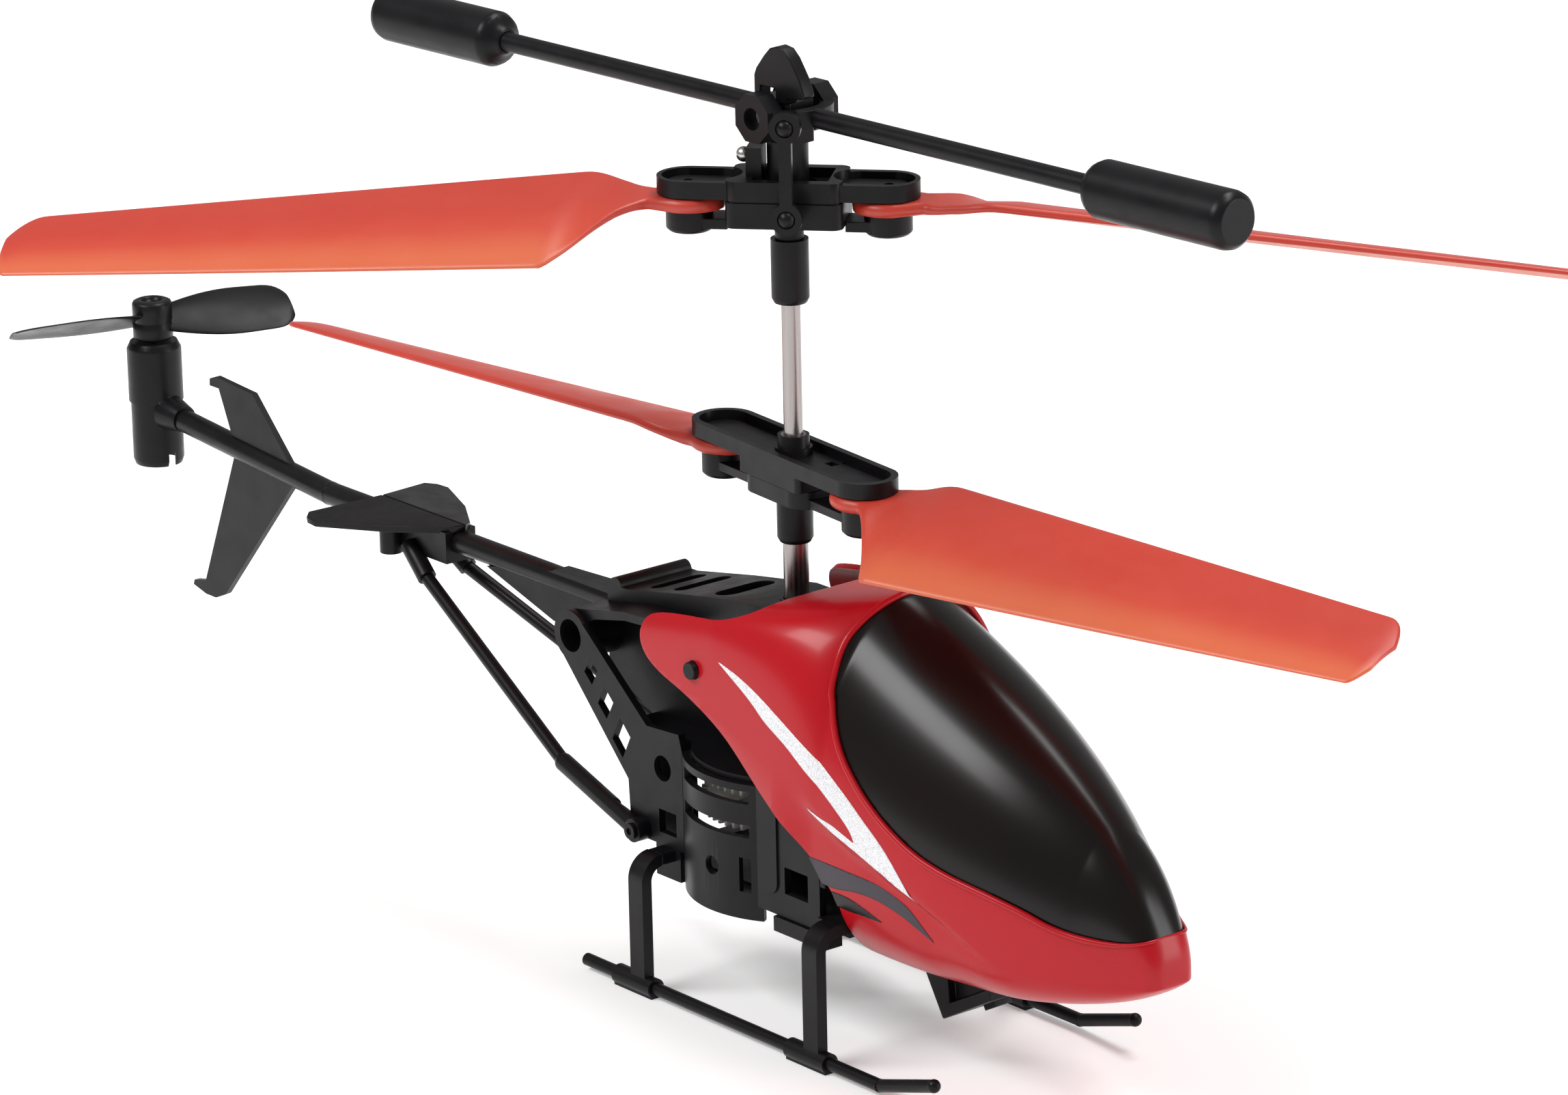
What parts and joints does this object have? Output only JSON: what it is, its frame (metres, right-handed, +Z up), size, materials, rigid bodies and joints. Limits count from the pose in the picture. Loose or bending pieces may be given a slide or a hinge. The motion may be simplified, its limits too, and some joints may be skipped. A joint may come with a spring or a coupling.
{
  "type": "toy coaxial helicopter",
  "caption": "Small remote control helicopter with coaxial folding-blade rotors, stabilising flybar, tail boom with tail rotor, glossy canopy and skid landing gear.",
  "frame": {"origin": "on the rotor mast axis, at the level of the ground that the skid sleeves stand on", "axes": "+X towards the canopy nose, +Y to the helicopter's left, +Z up along the mast"},
  "size_m": [0.2433, 0.1372, 0.1198],
  "materials": {
    "black_plastic": "satin black nylon",
    "black_boom": "satin black tube",
    "red_gloss": "glossy red shell",
    "dark_gloss": "glossy dark tinted",
    "orange_blade": "slightly translucent red-orange",
    "gear_white": "white nylon",
    "white_plastic": "satin white",
    "shaft_steel": "drawn steel",
    "screw_steel": "plated steel",
    "motor_can": "plain metal can",
    "tail_motor_can": "plain metal can",
    "brass_bush": "plain",
    "pinion_brass": "plain",
    "battery_foil": "silver foil pouch",
    "board_green": "green laminate",
    "chip_black": "moulded black"
  },
  "bodies": {
    "airframe": {"main_frame": "black_plastic", "side_plate_right": "black_plastic", "side_plate_left": "black_plastic", "lower_deck": "black_plastic", "canopy": "red_gloss", "windshield": "dark_gloss", "canopy_pegs": "black_plastic", "tail_boom": "black_boom", "boom_socket": "black_plastic", "stabilizer": "black_plastic", "stabilizer_clamp": "black_plastic", "tail_fin": "black_plastic", "strut_right": "black_plastic", "strut_left": "black_plastic", "strut_screws": "black_plastic", "tail_motor_housing": "black_plastic", "tail_motor": "tail_motor_can", "skid_right": "black_plastic", "skid_left": "black_plastic", "rear_leg_right": "black_plastic", "rear_leg_left": "black_plastic", "front_leg_right": "black_plastic", "front_leg_left": "black_plastic", "rear_cross_bar": "black_plastic", "front_cross_bar": "black_plastic", "upper_bearing": "black_plastic", "lower_bearing": "brass_bush", "front_motor": "motor_can", "rear_motor": "motor_can", "battery": "battery_foil", "battery_tray": "black_plastic", "circuit_board": "board_green", "board_chips": "chip_black", "switch_housing": "black_plastic", "frame_screws": "screw_steel"},
    "power_switch": {"switch_slider": "black_plastic"},
    "lower_rotor": {"outer_shaft": "shaft_steel", "outer_gear": "gear_white", "lower_hub": "black_plastic", "lower_hub_arm": "black_plastic"},
    "lower_blade_a": {"lower_blade_a": "orange_blade"},
    "lower_blade_b": {"lower_blade_b": "orange_blade"},
    "upper_rotor": {"inner_shaft": "shaft_steel", "inner_gear": "gear_white", "rotor_head": "black_plastic", "head_cap": "black_plastic", "flybar_pin": "screw_steel", "holder_pin": "screw_steel"},
    "blade_holder": {"blade_holder": "black_plastic", "holder_arm": "black_plastic", "holder_screw": "screw_steel"},
    "upper_blade_a": {"upper_blade_a": "orange_blade"},
    "upper_blade_b": {"upper_blade_b": "orange_blade"},
    "flybar": {"flybar": "black_plastic", "flybar_weights": "black_plastic"},
    "link_right": {"link_right": "black_plastic"},
    "link_left": {"link_left": "black_plastic"},
    "front_pinion": {"front_pinion": "pinion_brass"},
    "rear_pinion": {"rear_pinion": "pinion_brass"},
    "tail_rotor": {"tail_rotor": "black_plastic"}
  },
  "joints": [
    {"name": "power_switch_slide", "type": "slide", "parent": "airframe", "child": "power_switch", "axis": [0.8779, 0, 0.4789], "range_m": [0, 0.002]},
    {"name": "lower_rotor_spin", "type": "hinge", "parent": "airframe", "child": "lower_rotor", "pos_m": [0, 0, 0.05], "axis": [0, 0, 1], "continuous": true},
    {"name": "lower_blade_a_fold", "type": "hinge", "parent": "lower_rotor", "child": "lower_blade_a", "pos_m": [0.01513, -0.00146, 0.067], "axis": [0, 0, 1], "range_deg": [-20, 20]},
    {"name": "lower_blade_b_fold", "type": "hinge", "parent": "lower_rotor", "child": "lower_blade_b", "pos_m": [-0.01513, 0.00146, 0.067], "axis": [0, 0, 1], "range_deg": [-20, 20]},
    {"name": "upper_rotor_spin", "type": "hinge", "parent": "airframe", "child": "upper_rotor", "pos_m": [0, 0, 0.06], "axis": [0, 0, 1], "continuous": true},
    {"name": "flybar_tilt", "type": "hinge", "parent": "upper_rotor", "child": "flybar", "pos_m": [0, 0, 0.1114], "axis": [-0.0593, 0.9982, 0], "range_deg": [-10, 10]},
    {"name": "holder_feather", "type": "hinge", "parent": "upper_rotor", "child": "blade_holder", "pos_m": [0, 0, 0.1003], "axis": [0.7478, 0.6639, 0], "range_deg": [-7.53, 7.53]},
    {"name": "upper_blade_a_fold", "type": "hinge", "parent": "blade_holder", "child": "upper_blade_a", "pos_m": [0.00897, 0.00797, 0.1003], "axis": [0, 0, 1], "range_deg": [-20, 20]},
    {"name": "upper_blade_b_fold", "type": "hinge", "parent": "blade_holder", "child": "upper_blade_b", "pos_m": [-0.00897, -0.00797, 0.1003], "axis": [0, 0, 1], "range_deg": [-20, 20]},
    {"name": "link_right_swing", "type": "hinge", "parent": "blade_holder", "child": "link_right", "pos_m": [0.00633, -0.00548, 0.1003], "axis": [0.7478, 0.6639, 0], "range_deg": [-7.53, 7.53]},
    {"name": "link_left_swing", "type": "hinge", "parent": "blade_holder", "child": "link_left", "pos_m": [-0.00633, 0.00548, 0.1003], "axis": [0.7478, 0.6639, 0], "range_deg": [-7.53, 7.53]},
    {"name": "front_pinion_spin", "type": "hinge", "parent": "airframe", "child": "front_pinion", "pos_m": [0.014, 0, 0.025], "axis": [0, 0, 1], "continuous": true},
    {"name": "rear_pinion_spin", "type": "hinge", "parent": "airframe", "child": "rear_pinion", "pos_m": [-0.014, 0, 0.029], "axis": [0, 0, 1], "continuous": true},
    {"name": "tail_rotor_spin", "type": "hinge", "parent": "airframe", "child": "tail_rotor", "pos_m": [-0.1372, 0, 0.057], "axis": [0, 0, 1], "continuous": true}
  ],
  "couplings": [
    {"joint": "rear_pinion_spin", "follows": "lower_rotor_spin", "ratio": -6},
    {"joint": "front_pinion_spin", "follows": "upper_rotor_spin", "ratio": -6},
    {"joint": "holder_feather", "follows": "flybar_tilt", "ratio": 0.7226},
    {"joint": "link_right_swing", "follows": "flybar_tilt", "ratio": -0.7226},
    {"joint": "link_left_swing", "follows": "flybar_tilt", "ratio": -0.7226}
  ]
}
